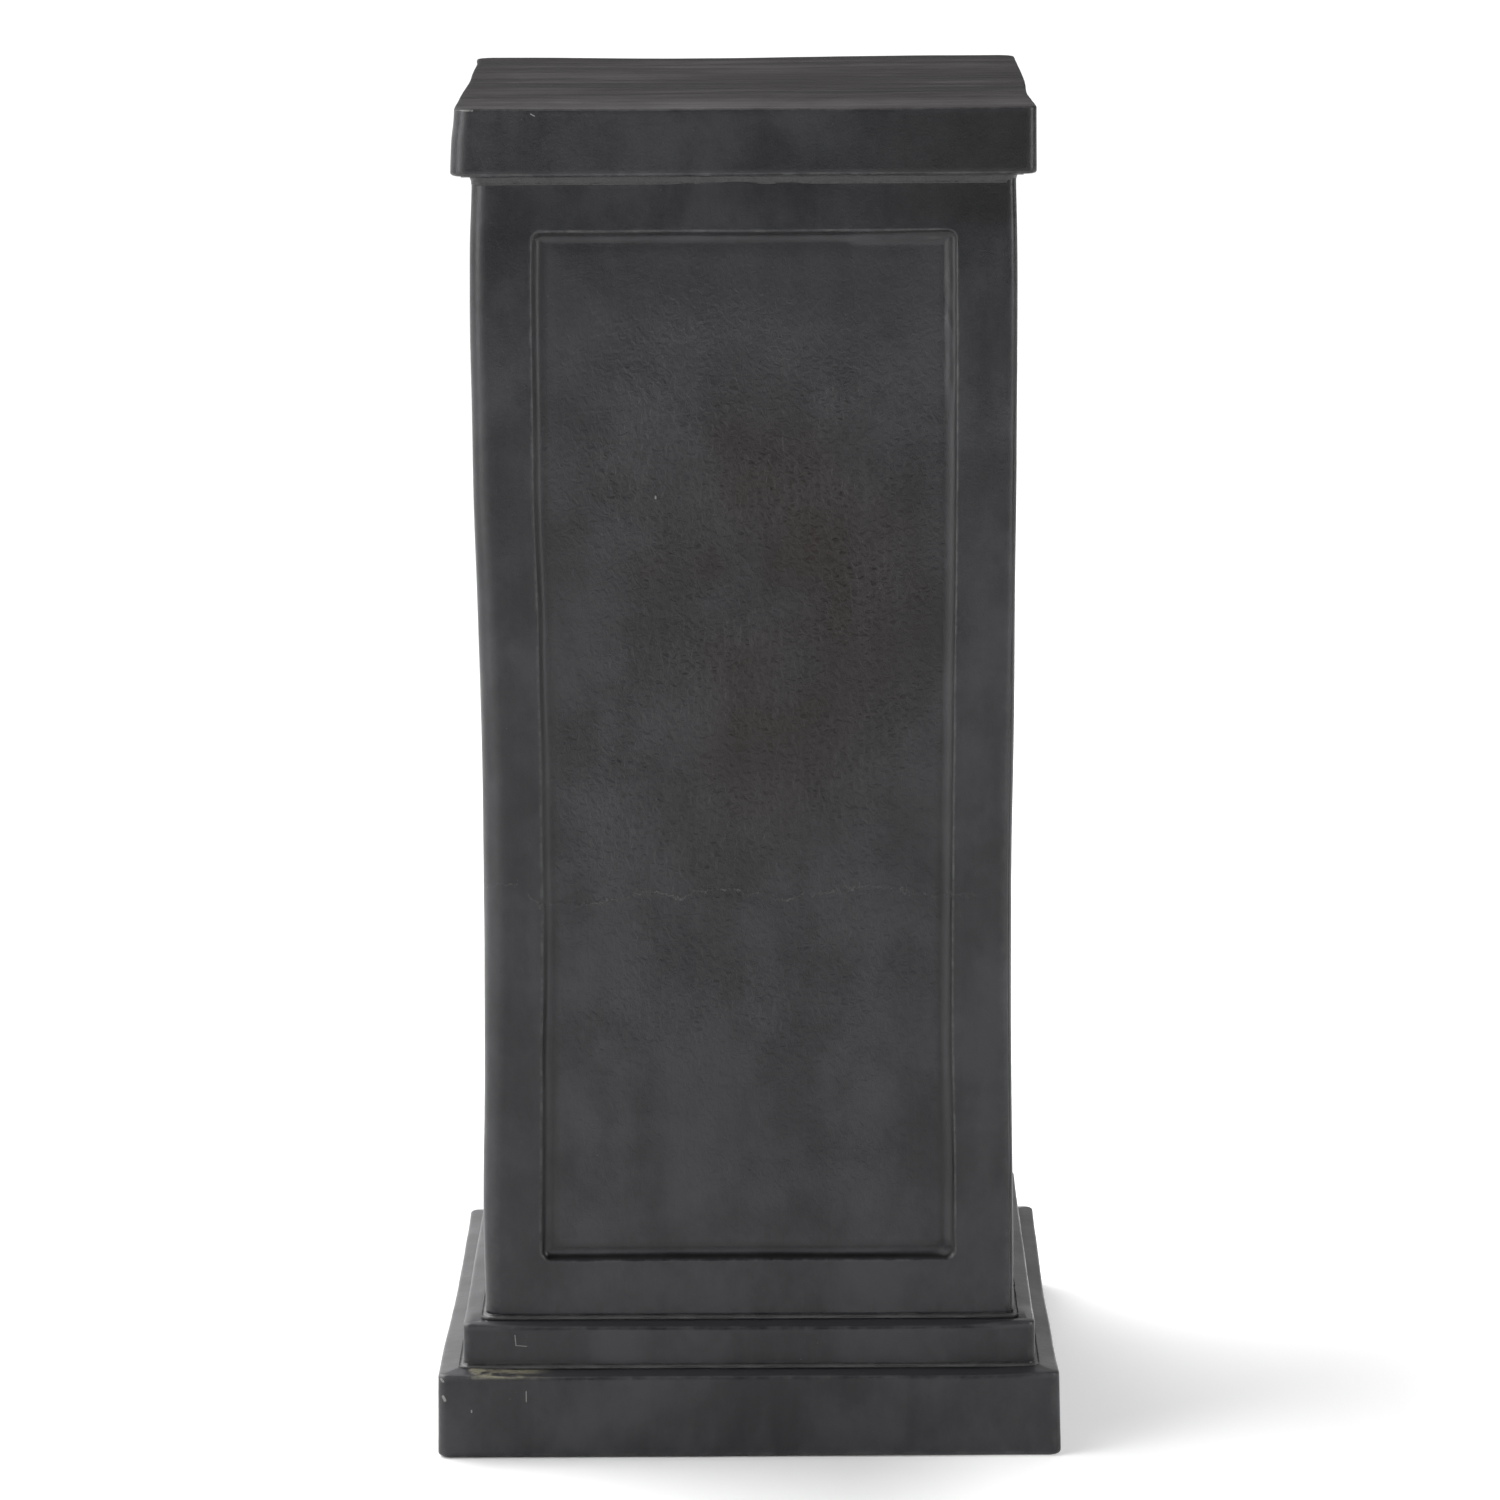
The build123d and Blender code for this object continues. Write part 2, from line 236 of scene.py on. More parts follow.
def rounded_outline(corners, step):
    """A closed outline of (outward, height) pairs from corners (outward, height, radius, step).

    A corner's own step holds for the straight run after it; None means the common step.
    """
    spans = []
    for number, (outward, height, radius, _) in enumerate(corners):
        here = np.array((outward, height))
        before = np.array(corners[number - 1][:2]) - here
        after = np.array(corners[(number + 1) % len(corners)][:2]) - here
        before, after = before / np.linalg.norm(before), after / np.linalg.norm(after)
        turn = math.acos(np.clip(-np.dot(before, after), -1, 1))
        if radius and turn > 0.01:
            reach = radius * math.tan(turn / 2)
            bisector = (before + after) / np.linalg.norm(before + after)
            centre = here + bisector * math.hypot(radius, reach)
            start, end = here + before * reach - centre, here + after * reach - centre
            part = np.linspace(0, 1, max(3, round(turn / math.radians(15))) + 1)[:, None]
            spans.append(centre + (np.sin((1 - part) * turn) * start + np.sin(part * turn) * end)
                         / math.sin(turn))
        else:
            spans.append(here[None, :])
    outline = []
    for number, span in enumerate(spans):
        run = spans[(number + 1) % len(spans)][0] - span[-1]
        pieces = max(1, math.ceil(np.linalg.norm(run) / (corners[number][3] or step)))
        outline += [span, span[-1] + np.arange(1, pieces)[:, None] / pieces * run]
    return np.concatenate(outline)


# ---- how the real shells have warped ----
def pull(points, side, amount, reach):
    """Moves what lies towards one side outwards by amount, fading out towards the middle."""
    share = ramp(points[..., :2] @ OUTWARD[side], 0, reach)
    return (share * amount)[..., None] * np.append(OUTWARD[side], 0)


def move_walls(points, amounts, reach):
    """The move of all four walls outwards, by amounts in mm: front, right, rear and left."""
    moved = zip((FRONT, RIGHT, REAR, LEFT), amounts)
    return sum(pull(points, side, amount * MM, reach) for side, amount in moved)


def shaft_warp(points):
    """The shaft's walls: fuller under the cap, waisted in the lower half, held at both ends."""
    z = points[..., 2] / MM
    held = hump(z, 735, 30)
    left = 1.65 * hump(z, 640, 90) - 1.6 * hump(z, 350, 110) + 1.2 * hump(z, 130, 55) - 1.2 * held
    left = left - 0.95 - 0.3 * hump(z, 708, 14) + 0.75 * hump(z, 545, 38) + 0.45 * hump(z, 345, 35)
    right = 0.75 + 0.35 * hump(z, 650, 70) + 0.15 * hump(z, 560, 50) - 2.1 * hump(z, 285, 150)
    right = right - 0.9 * held
    front = 0.9 * hump(z, 630, 100) - 1.5 * hump(z, 330, 120) - 0.8 * held
    rear = 1.2 * hump(z, 600, 110) - 1.8 * hump(z, 300, 130) - 0.8 * held
    return move_walls(points, (front, right, rear, left), SHAFT_HALF)


def cap_warp(points):
    """The cap: edges wavy and hollow in plan, its left rim leaning in, its top dished at the back."""
    x, y, z = (points[..., axis] / MM for axis in range(3))
    height = ramp(z, RIM_Z / MM, TOP_Z / MM)
    left = -0.1 - 2.6 * height - 0.7 * hump(y, 20, 60) * height + 0.4 * hump(y, 70, 40)
    left = left + 1.6 * ramp(y, 120, 158) * height + 0.5 * hump(z, 745, 8)
    right = 1.2 - 0.9 * ramp(y, -150, 0) - 2.2 * hump(y, -80, 50) * height - 0.3 * ramp(y, 20, 120)
    front = -1.0 - 0.5 * hump(x, 30, 90) + 0.4 * hump(x, -110, 40) - 1.3 * ramp(abs(x), 128, 164)
    rear = -1.0 - 1.0 * hump(x, -20, 90)
    offset = move_walls(points, (front, right, rear, left), CAP_HALF)
    sag = 1.0 * hump(x, -25, 75) * ramp(y, -40, 150) + 0.8 * hump(x, 60, 45) * ramp(-y, 40, 150)
    sag += 0.5 * hump(x, -60, 40) * ramp(-y, 40, 150) + 0.15
    offset[..., 2] -= sag * ramp(z, RIM_Z / MM + 10, TOP_Z / MM) * MM
    return offset


def tier_warp(points):
    """The two foot tiers: sides drawn in behind the front corners, ledges lifted at the corners."""
    x, y, z = (points[..., axis] / MM for axis in range(3))
    height = 0.35 + 0.65 * ramp(z, 5, STEP_Z / MM)
    left = 0.8 - 2.3 * ramp(y, -140, 20)
    right = 0.5 - 0.5 * ramp(y, -175, -120) - 1.6 * hump(y, 10, 90) - 0.9 * ramp(y, 20, 160)
    front = -0.5 * hump(x, 20, 110)
    rear = -1.2 * hump(x, 0, 100)
    outer = ramp(np.maximum(abs(x), abs(y)), STEP_HALF / MM - 4, PLINTH_FOOT / MM)
    amounts = [amount * height * outer for amount in (front, right, rear, left)]
    offset = move_walls(points, amounts, STEP_HALF)
    toward_corner = np.minimum(abs(x), abs(y))
    lift = (1.4 + 0.5 * ramp(x, -100, 100)) * ramp(toward_corner, 130, 176)
    ledge = ramp(z, STEP_Z / MM - 20, STEP_Z / MM - 2) * ramp(np.maximum(abs(x), abs(y)), 150, 165)
    offset[..., 2] += lift * ledge * MM
    return offset


def step_warp(points):
    """The step alone: corners of its ledge lifted a little."""
    x, y, z = (points[..., axis] / MM for axis in range(3))
    toward_corner = np.minimum(abs(x), abs(y))
    lift = (2.0 + 0.5 * ramp(x, -100, 100)) * ramp(toward_corner, 115, 162)
    lift = lift - 0.5 * hump(x, 20, 80)
    ledge = ramp(z, SHAFT_Z / MM - 14, SHAFT_Z / MM - 1) * ramp(np.maximum(abs(x), abs(y)), 152, 159)
    offset = np.zeros_like(points)
    offset[..., 2] = lift * ledge * MM
    return offset


def moulded_relief(points, seed):
    """Low lumps and soft ripples of a hand-laid moulding."""
    low = layered_noise(points, 70 * MM, seed, 2) * 0.28
    fine = layered_noise(points, 14 * MM, seed + 10, 2) * 0.05
    return (low + fine) * MM


# ---- materials ----
RANGE_ENDS = ("From Min", "From Max", "To Min", "To Max")  # inputs of a map range node


class Nodes:
    """A material with short calls for its nodes, called n in the functions below."""

    def __init__(self, name):
        self.material = bpy.data.materials.new(name)
        self.material.use_nodes = True
        self.tree = self.material.node_tree
        self.shader = self.tree.nodes["Principled BSDF"]
        self.place = self.tree.nodes.new("ShaderNodeTexCoord").outputs["Object"]

    def link(self, source, target):
        """Joins an output to an input, or sets a plain value."""
        if isinstance(source, bpy.types.NodeSocket):
            self.tree.links.new(source, target)
        else:
            target.default_value = source

    def stretched(self, scale):
        """The object's coordinates, scaled by these three numbers."""
        node = self.tree.nodes.new("ShaderNodeMapping")
        node.inputs["Scale"].default_value = scale
        self.link(self.place, node.inputs["Vector"])
        return node.outputs["Vector"]

    def noise(self, size, detail=3.0, roughness=0.55, stretch=(1, 1, 1), warp=0.0):
        """Noise from 0 to 1 with features of about this size in metres."""
        node = self.tree.nodes.new("ShaderNodeTexNoise")
        node.inputs["Scale"].default_value = 1 / size
        node.inputs["Detail"].default_value = detail
        node.inputs["Roughness"].default_value = roughness
        node.inputs["Distortion"].default_value = warp
        self.link(self.stretched(stretch), node.inputs["Vector"])
        return node.outputs["Fac"]

    def cells(self, size, feature="F1"):
        """Distance in a pattern of cells of about this size in metres."""
        node = self.tree.nodes.new("ShaderNodeTexVoronoi")
        node.feature = feature
        node.inputs["Scale"].default_value = 1 / size
        self.link(self.place, node.inputs["Vector"])
        return node.outputs["Distance"]

    def maths(self, operation, first, second=0.0, third=0.0, clamp=False):
        """The result of one sum."""
        node = self.tree.nodes.new("ShaderNodeMath")
        node.operation = operation
        node.use_clamp = clamp
        for socket, value in zip(node.inputs, (first, second, third)):
            self.link(value, socket)
        return node.outputs["Value"]

    def spread(self, value, low, high, to_low=0.0, to_high=1.0):
        """A value's range from low to high, stretched smoothly to another."""
        node = self.tree.nodes.new("ShaderNodeMapRange")
        node.interpolation_type = "SMOOTHSTEP"
        self.link(value, node.inputs["Value"])
        for name, number in zip(RANGE_ENDS, (low, high, to_low, to_high)):
            node.inputs[name].default_value = number
        return node.outputs["Result"]

    def mix(self, share, first, second):
        """A colour between two others."""
        node = self.tree.nodes.new("ShaderNodeMix")
        node.data_type = "RGBA"
        self.link(share, node.inputs["Factor"])
        self.link(first, node.inputs["A"])
        self.link(second, node.inputs["B"])
        return [output for output in node.outputs if output.type == "RGBA"][0]

    def value(self, name):
        """One of the numbers stored at the mesh's points."""
        node = self.tree.nodes.new("ShaderNodeAttribute")
        node.attribute_name = name
        return node.outputs["Fac"]

    def axis(self, name):
        """The object's X, Y or Z, in metres."""
        node = self.tree.nodes.new("ShaderNodeSeparateXYZ")
        self.link(self.place, node.inputs[0])
        return node.outputs[name]

    def vector(self, operation, first, second, output="Vector"):
        """The result of one vector sum."""
        node = self.tree.nodes.new("ShaderNodeVectorMath")
        node.operation = operation
        self.link(first, node.inputs[0])
        self.link(second, node.inputs[1])
        return node.outputs[output]

    def off_line(self, start, end):
        """Distance from a straight line between two places in mm; depth counts for a fifth."""
        squash = np.array((1, 0.2, 1))
        start, run = np.array(start) * squash * MM, np.subtract(end, start) * squash * MM
        offset = self.vector("SUBTRACT", self.stretched(squash), start)
        along_run = self.vector("DOT_PRODUCT", offset, run, "Value")
        share = self.maths("DIVIDE", along_run, run @ run, clamp=True)
        along = self.tree.nodes.new("ShaderNodeVectorMath")
        along.operation = "SCALE"
        self.link(run, along.inputs[0])
        self.link(share, along.inputs["Scale"])
        return self.vector("DISTANCE", offset, along.outputs["Vector"], "Value")

    def raise_by(self, heights):
        """Bump from pairs (height pattern, depth in metres)."""
        normal = None
        for pattern, depth in heights:
            node = self.tree.nodes.new("ShaderNodeBump")
            node.inputs["Strength"].default_value = 1.0
            node.inputs["Distance"].default_value = depth
            self.link(pattern, node.inputs["Height"])
            if normal is not None:
                self.link(normal, node.inputs["Normal"])
            normal = node.outputs["Normal"]
        self.link(normal, self.shader.inputs["Normal"])

    def finish(self, colour, roughness):
        """Sets colour and roughness and returns the material."""
        self.link(colour, self.shader.inputs["Base Color"])
        self.link(roughness, self.shader.inputs["Roughness"])
        return self.material


# ---- the plinth's materials ----
def worn_and_highlit_edges(n, colour):
    """Paler edges, partly rubbed wear and partly painted highlight on the arrises, and rare pale specks
    over a coat.
    """
    worn_and_highlit = n.maths("MULTIPLY", n.value("edge"), n.spread(n.noise(0.01, 4, 0.7), 0.35, 0.7))
    colour = n.mix(n.maths("MULTIPLY", worn_and_highlit, 0.35), colour, (0.10, 0.10, 0.10, 1))
    speck = n.spread(n.cells(0.007), 0.045, 0.03)
    rare = n.spread(n.noise(0.03, 2), 0.62, 0.66)
    specks = n.maths("MULTIPLY", n.maths("MULTIPLY", speck, rare), 0.5)
    return n.mix(specks, colour, (0.14, 0.135, 0.13, 1))


PRIMER = (0.17, 0.17, 0.165, 1)
CHIPS = [  # start, end and half width of the pale scratches and chips on the front, in mm
    ((-132.5, -162, 68), (-132, -162, 62), 0.25),
    ((-132, -162, 62), (-126, -162, 61.5), 0.2),
    ((-126, -175, 39), (-126, -175, 33), 0.25),
    ((-174, -174, 46), (-173, -175, 45), 0.7),
    ((-173, -175, 36), (-172, -175, 34), 0.8),
    ((-157, -175, 28), (-157, -175, 27), 0.4),
    ((-49, -146, 546), (-49, -146, 545), 0.6),
    ((-157, -158, 761), (-147, -159, 761), 0.5),
    ((-115, -159, 759), (-113, -159, 758), 0.3),
    ((-151, -151, 76), (-149, -152, 75), 1.1),
    ((-44, -158, 74), (-44, -159, 74), 0.5),
]


def chips(n):
    """Chips and scratches down to the pale primer."""
    found = 0.0
    for start, end, half_width in CHIPS:
        line = n.off_line(start, end)
        found = n.maths("MAXIMUM", found, n.spread(line, half_width * 1.3 * MM, half_width * 0.7 * MM))
    return n.maths("MULTIPLY", found, n.spread(n.noise(0.002, 3, 0.7), 0.3, 0.5, 0.3, 1.0))


def smear(n):
    """A wiped smear of yellowish resin on the left of the front ledge."""
    line = n.off_line((-156, -168, 48.8), (-108, -170, 48.8))
    streaks = n.spread(n.noise(0.008, 5, 0.75, (0.35, 1, 1), 0.6), 0.40, 0.60)
    trail = n.spread(n.axis("X"), -0.108, -0.136)
    near = n.spread(line, 3.6 * MM, 1.0 * MM)
    return n.maths("MULTIPLY", near, n.maths("MULTIPLY", streaks, trail))


def black_coat():
    """Satin charcoal lacquer over resin: brown clouds and leathery wrinkles in the panels."""
    n = Nodes("black_coat")
    n.shader.inputs["Specular IOR Level"].default_value = 0.385
    cloud = n.spread(n.noise(0.05, 5, 0.65, (1, 1, 0.7)), 0.35, 0.65)
    colour = n.mix(cloud, (0.0225, 0.0225, 0.0260, 1), (0.0080, 0.0080, 0.0100, 1))
    colour = n.mix(n.value("brown"), colour, (0.0060, 0.0020, 0.0015, 1))
    # paler grey: dust on the ledge tops, and a painted sheen on the upper panel
    colour = n.mix(n.value("dust_and_sheen"), colour, (0.030, 0.029, 0.033, 1))
    streak = n.noise(0.012, 4, 0.65, (1, 1, 0.06))
    colour = n.mix(n.spread(streak, 0.35, 0.8, 0, 0.2), colour, (0.030, 0.030, 0.031, 1))
    # painted shade from root: the border recesses, the head rail and the cap's rim towards the right
    colour = n.mix(n.value("root"), colour, (0.003, 0.003, 0.003, 1))
    # paler edges: rubbed wear and painted highlight on the arrises
    colour = worn_and_highlit_edges(n, colour)
    # painted highlight: a pale ragged line along the mat's edge where its lip catches the light, broken
    # into flakes
    ragged = n.maths("MULTIPLY_ADD", n.noise(0.005, 5, 0.75), 14.0, -7.0)
    lap = n.spread(n.maths("ABSOLUTE", n.maths("ADD", n.value("above"), ragged)), 0.95, 0.15)
    broken = n.spread(n.noise(0.007, 5, 0.8), 0.41, 0.56)
    lap = n.maths("MULTIPLY", lap, n.maths("MULTIPLY", broken, n.value("torn")))
    colour = n.mix(lap, colour, (0.092, 0.092, 0.092, 1))
    colour = n.mix(chips(n), colour, PRIMER)
    colour = n.mix(smear(n), colour, (0.21, 0.20, 0.145, 1))
    gloss = n.spread(n.noise(0.05, 4, 0.6), 0.3, 0.7, 0.28, 0.40)
    wrinkle = n.noise(0.0034, 5, 0.62, (1, 1, 0.8), 0.5)
    masked = n.maths("MULTIPLY", wrinkle, n.maths("MULTIPLY_ADD", n.value("rough"), 0.9, 0.1))
    n.raise_by([(masked, 0.0010), (n.noise(0.0012, 3, 0.6), 0.00008), (streak, 0.0001), (lap, 0.0005)])
    return n.finish(colour, gloss)


def brushed_top():
    """The cap's upper side: dull brownish coat, streaked from left to right by the brush."""
    n = Nodes("brushed_top")
    n.shader.inputs["Specular IOR Level"].default_value = 0.06
    brushed = n.noise(0.017, 4, 0.7, (0.07, 1, 1))
    colour = n.mix(n.spread(brushed, 0.38, 0.64), (0.0070, 0.0062, 0.0068, 1), (0.050, 0.046, 0.048, 1))
    # paler towards the front edge of the top
    paler_band = n.spread(n.axis("Y"), -0.090, -0.135, 0, 0.9)
    colour = n.mix(paler_band, colour, (0.062, 0.058, 0.060, 1))
    patch = n.spread(n.noise(0.09, 3, 0.6), 0.35, 0.65, 0, 0.5)
    colour = n.mix(patch, colour, (0.012, 0.010, 0.0105, 1))
    # paler edges: rubbed wear and painted highlight on the arrises
    colour = worn_and_highlit_edges(n, colour)
    colour = n.mix(chips(n), colour, PRIMER)
    fine = n.noise(0.005, 4, 0.7, (0.1, 1, 1))
    n.raise_by([(brushed, 0.0022), (fine, 0.0008), (n.noise(0.0012, 3, 0.6), 0.00008)])
    return n.finish(colour, n.spread(brushed, 0.3, 0.7, 0.62, 0.95))


def raw_laminate():
    """The unpainted inside of the shells: amber-green resin with mat fibres."""
    n = Nodes("raw_laminate")
    fibre = n.noise(0.004, 5, 0.7, (1, 1, 0.3), 2.0)
    colour = n.mix(fibre, (0.20, 0.19, 0.12, 1), (0.42, 0.40, 0.29, 1))
    colour = n.mix(n.spread(n.noise(0.08, 3), 0.5, 0.7, 0, 0.5), colour, (0.09, 0.085, 0.07, 1))
    n.raise_by([(fibre, 0.0012), (n.noise(0.0015, 3), 0.0003)])
    return n.finish(colour, n.spread(fibre, 0.2, 0.8, 0.25, 0.5))


def paste(name, pale, dark):
    """Hand-wiped bonding paste under the black coat."""
    n = Nodes(name)
    smear = n.noise(0.012, 4, 0.65, (1, 1, 1), 1.0)
    colour = n.mix(n.spread(smear, 0.35, 0.65), dark, pale)
    # painted highlight: paler on the upper part of the bead's lip
    colour = n.mix(n.value("toe"), colour, (0.055, 0.055, 0.055, 1))
    n.raise_by([(n.noise(0.003, 4, 0.6), 0.0005)])
    return n.finish(colour, n.spread(smear, 0.3, 0.7, 0.32, 0.45))


def glass_mat():
    """Chopped strand mat soaked in resin."""
    n = Nodes("glass_mat")
    strand = n.cells(0.005, "F2")
    colour = n.mix(n.spread(strand, 0.2, 0.9), (0.30, 0.30, 0.22, 1), (0.62, 0.61, 0.50, 1))
    colour = n.mix(n.spread(n.noise(0.03, 3), 0.4, 0.7, 0, 0.4), colour, (0.22, 0.20, 0.13, 1))
    n.raise_by([(strand, 0.0008)])
    return n.finish(colour, n.spread(n.noise(0.01, 3), 0.3, 0.7, 0.25, 0.45))


def timber(name, stretch, pale, dark):
    """Sawn wood with its grain along one axis."""
    n = Nodes(name)
    ring = n.noise(0.009, 5, 0.6, stretch, 0.6)
    colour = n.mix(n.spread(ring, 0.35, 0.65), pale, dark)
    pore = n.noise(0.0012, 3, 0.7, stretch)
    colour = n.mix(n.spread(pore, 0.55, 0.75, 0, 0.4), colour, (0.16, 0.09, 0.04, 1))
    n.raise_by([(ring, 0.0005), (pore, 0.0002)])
    return n.finish(colour, n.spread(ring, 0.3, 0.7, 0.55, 0.75))


def zinc_steel():
    """Bright zinc plate, dulled in patches."""
    n = Nodes("zinc_steel")
    n.shader.inputs["Metallic"].default_value = 1.0
    patch = n.noise(0.004, 4, 0.6)
    colour = n.mix(patch, (0.48, 0.47, 0.42, 1), (0.72, 0.71, 0.68, 1))
    n.raise_by([(n.noise(0.0008, 3), 0.00005)])
    return n.finish(colour, n.spread(patch, 0.3, 0.7, 0.25, 0.45))


def pad_rubber():
    """Black rubber, scuffed grey."""
    n = Nodes("pad_rubber")
    scuff = n.noise(0.006, 5, 0.7)
    colour = n.mix(n.spread(scuff, 0.5, 0.75), (0.018, 0.018, 0.018, 1), (0.07, 0.068, 0.065, 1))
    n.raise_by([(scuff, 0.0002)])
    return n.finish(colour, n.spread(scuff, 0.3, 0.7, 0.6, 0.85))


BLACK_COAT = black_coat()
BRUSHED_TOP = brushed_top()
RAW_LAMINATE = raw_laminate()
BLACK_PASTE = paste("black_paste", (0.024, 0.024, 0.025, 1), (0.014, 0.014, 0.015, 1))


# ---- shells and beads ----
def convexity(points, normals, closed_rows, closed_columns):
    """How sharply the grid bends outwards at each point: 1 is an edge of 2 mm radius or less."""
    found = []
    for axis, closed in ((0, closed_rows), (1, closed_columns)):
        step, turn = change(points, axis, closed), change(normals, axis, closed)
        found.append(np.sum(step * turn, axis=2) / np.maximum(np.sum(step * step, axis=2), 1e-12))
    return np.clip(np.maximum(*found) * 2 * MM, 0, 1)


MARKS = ("top", "root", "brown", "rough", "dust_and_sheen", "above", "torn")  # kept at points, 0 unless given


def shell_piece(name, points, outside, relief, loop=True, ring=True, values=None):
    """A shell from its warped grid: moulded black face where outside, raw laminate elsewhere.

    Its outline runs up the outside and down the inside. loop: the outline closes on itself, or
    else it starts and ends at the middle of the square. ring: the columns go all the way round.
    """
    normals = grid_normals(points, loop, ring)
    points = points + normals * relief[..., None]
    points = np.clip(points, CAD_BOX[0], CAD_BOX[1])
    rows, columns = points.shape[:2]
    faces = strip_faces(rows, columns, loop, ring)
    black = outside[faces // columns].all(axis=1)
    row_starts = np.arange(rows) * columns
    ends = []
    if not loop:
        last_row = row_starts[-1] + np.arange(columns)
        ends += [(np.arange(columns)[::-1], outside[0]), (last_row, outside[-1])]
    if not ring:
        ends += [(row_starts, False), (row_starts[::-1] + columns - 1, False)]
    face_list = faces.tolist() + [face.tolist() for face, _ in ends]
    black = np.append(black, [is_black for _, is_black in ends]) if ends else black
    values = {mark: np.zeros((rows, columns)) for mark in MARKS} | (values or {})
    values["edge"] = convexity(points, normals, loop, ring)
    finishes = (1 - black).astype(int)
    is_top = [values["top"].ravel()[face].min() > 0.5 for face in face_list]
    finishes[is_top] = 2
    return mesh_piece(name, points, face_list, [BLACK_COAT, RAW_LAMINATE, BRUSHED_TOP], finishes, values)


def reach_of(points):
    """Distance from the plinth's axis, measured square."""
    return np.abs(points[..., :2]).max(axis=-1)


def tier(name, half, flare, z_low, z_high, fall, corner, flat_half, inner, arris, foot, warp, seed):
    """A foot tier: skirt, ledge that falls outwards, deck with a square hole, and its inside."""
    fine, coarse = 2.2 * MM, 9 * MM
    outline = rounded_outline([
        (half + flare, z_low, foot, fine),
        (half, z_high - fall, arris, fine),
        (flat_half, z_high, 1.5 * MM, fine),
        (flat_half - 12 * MM, z_high, 0, coarse),
        (OPENING, z_high, 0, coarse),
        (OPENING, z_high - TIER_WALL, 0, coarse),
        (inner, z_high - TIER_WALL, 0, coarse),
        (inner, z_low, 0, coarse),
    ], coarse)
    outside = (outline[:, 0] > inner + TIER_WALL / 2) | (outline[:, 1] > z_high - TIER_WALL / 2)
    radii = np.where(outline[:, 0] > inner + TIER_WALL / 2, corner, 1.0 * MM)
    places = mirrored_steps(1, fine / half, [(1 - 3.5 * corner / half, 1, corner / half / 7)])
    points = square_rows(places, outline[:, 0], np.repeat(radii[:, None], 4, axis=1), outline[:, 1])
    points[outside] += warp(points[outside])
    open_air = ramp(reach_of(points), flat_half, flat_half + 3 * MM) * outside[:, None]
    relief = moulded_relief(points, seed) * open_air
    # a paler grey on the ledge tops, from dust
    dust_and_sheen = open_air * ramp(points[..., 2], z_high - fall - 1 * MM, z_high - fall)
    return shell_piece(name, points, outside, relief, values={"dust_and_sheen": dust_and_sheen})


def plinth_piece():
    """Lower foot tier."""
    half = PLINTH_INNER + TIER_WALL
    flat = STEP_HALF + BEAD_LEG
    return tier("plinth_moulding", half, PLINTH_FOOT - half, PLINTH_LOW[2], STEP_Z, 1.6 * MM, 5 * MM,
                flat, PLINTH_INNER, 2 * MM, 3 * MM, tier_warp, 11)


def step_piece():
    """Upper foot tier."""
    flat = SHAFT_HALF + BEAD_LEG
    return tier("step_moulding", STEP_HALF, 0.0, STEP_Z, SHAFT_Z, 1.4 * MM, 4 * MM, flat,
                STEP_INNER, 2 * MM, 0.0, step_warp, 23)


CAP_CORNERS = (9 * MM, 5 * MM, 9 * MM, 9 * MM)  # front left, front right, rear right, rear left


def cap_piece():
    """Cap: top skin and rim, with its inside."""
    fine, coarse = 2.2 * MM, 12 * MM
    centre = 1.5 * MM
    outline = rounded_outline([
        (centre, BOARD_HIGH[2], 0, coarse),
        (CAP_INNER, BOARD_HIGH[2], 0, coarse),
        (CAP_INNER, RIM_Z, 0, fine),
        (CAP_HALF, RIM_Z, 1.9 * MM, fine),
        (CAP_HALF, TOP_Z, 1.2 * MM, fine),
        (centre, TOP_Z, 0, fine),
    ], fine)
    outline = outline[: 1 + np.argmin(abs(outline[:, 0] - centre) + abs(outline[:, 1] - TOP_Z))]
    rounded = (outline[:, 0] > CAP_INNER + 0.1 * MM) | (outline[:, 1] > TOP_Z - TIER_WALL / 2)
    outside = rounded | (outline[:, 1] < RIM_Z + 0.1 * MM)
    radii = np.where(rounded[:, None], np.array(CAP_CORNERS)[None, :], 1.0 * MM)
    radii = np.minimum(radii, 0.9 * outline[:, [0]])
    places = mirrored_steps(1, fine / CAP_HALF, [(1 - 11 * MM / CAP_HALF, 1, 1.2 * MM / CAP_HALF)])
    points = square_rows(places, outline[:, 0], radii, outline[:, 1])
    loose = ramp(reach_of(points), CAP_INNER, CAP_INNER + 2 * MM)[..., None]
    loose = np.maximum(loose, points[..., 2:] > RIM_Z + 1 * MM)
    points[outside] += (cap_warp(points) * loose)[outside]
    level = ramp(points[..., 2], TOP_Z - 4 * MM, TOP_Z - 2 * MM)
    brushed = layered_noise(points * (0.05, 1, 1), 5 * MM, 41, 3) * 0.12 * MM
    free = ramp(reach_of(points), CAP_INNER, CAP_INNER + 2 * MM) + level
    relief = (moulded_relief(points, 31) + brushed * level) * np.minimum(free, 1) * outside[:, None]
    upper = (outside & (outline[:, 1] > TOP_Z - 0.9 * MM))[:, None] + 0 * level
    # painted shade: the cap's rim darkens towards the right, carried in root
    shade = 0.75 * ramp(points[..., 0], 20 * MM, 140 * MM) * (1 - level) * outside[:, None]
    return shell_piece("cap_moulding", points, outside, relief, loop=False,
                       values={"top": upper, "root": shade})


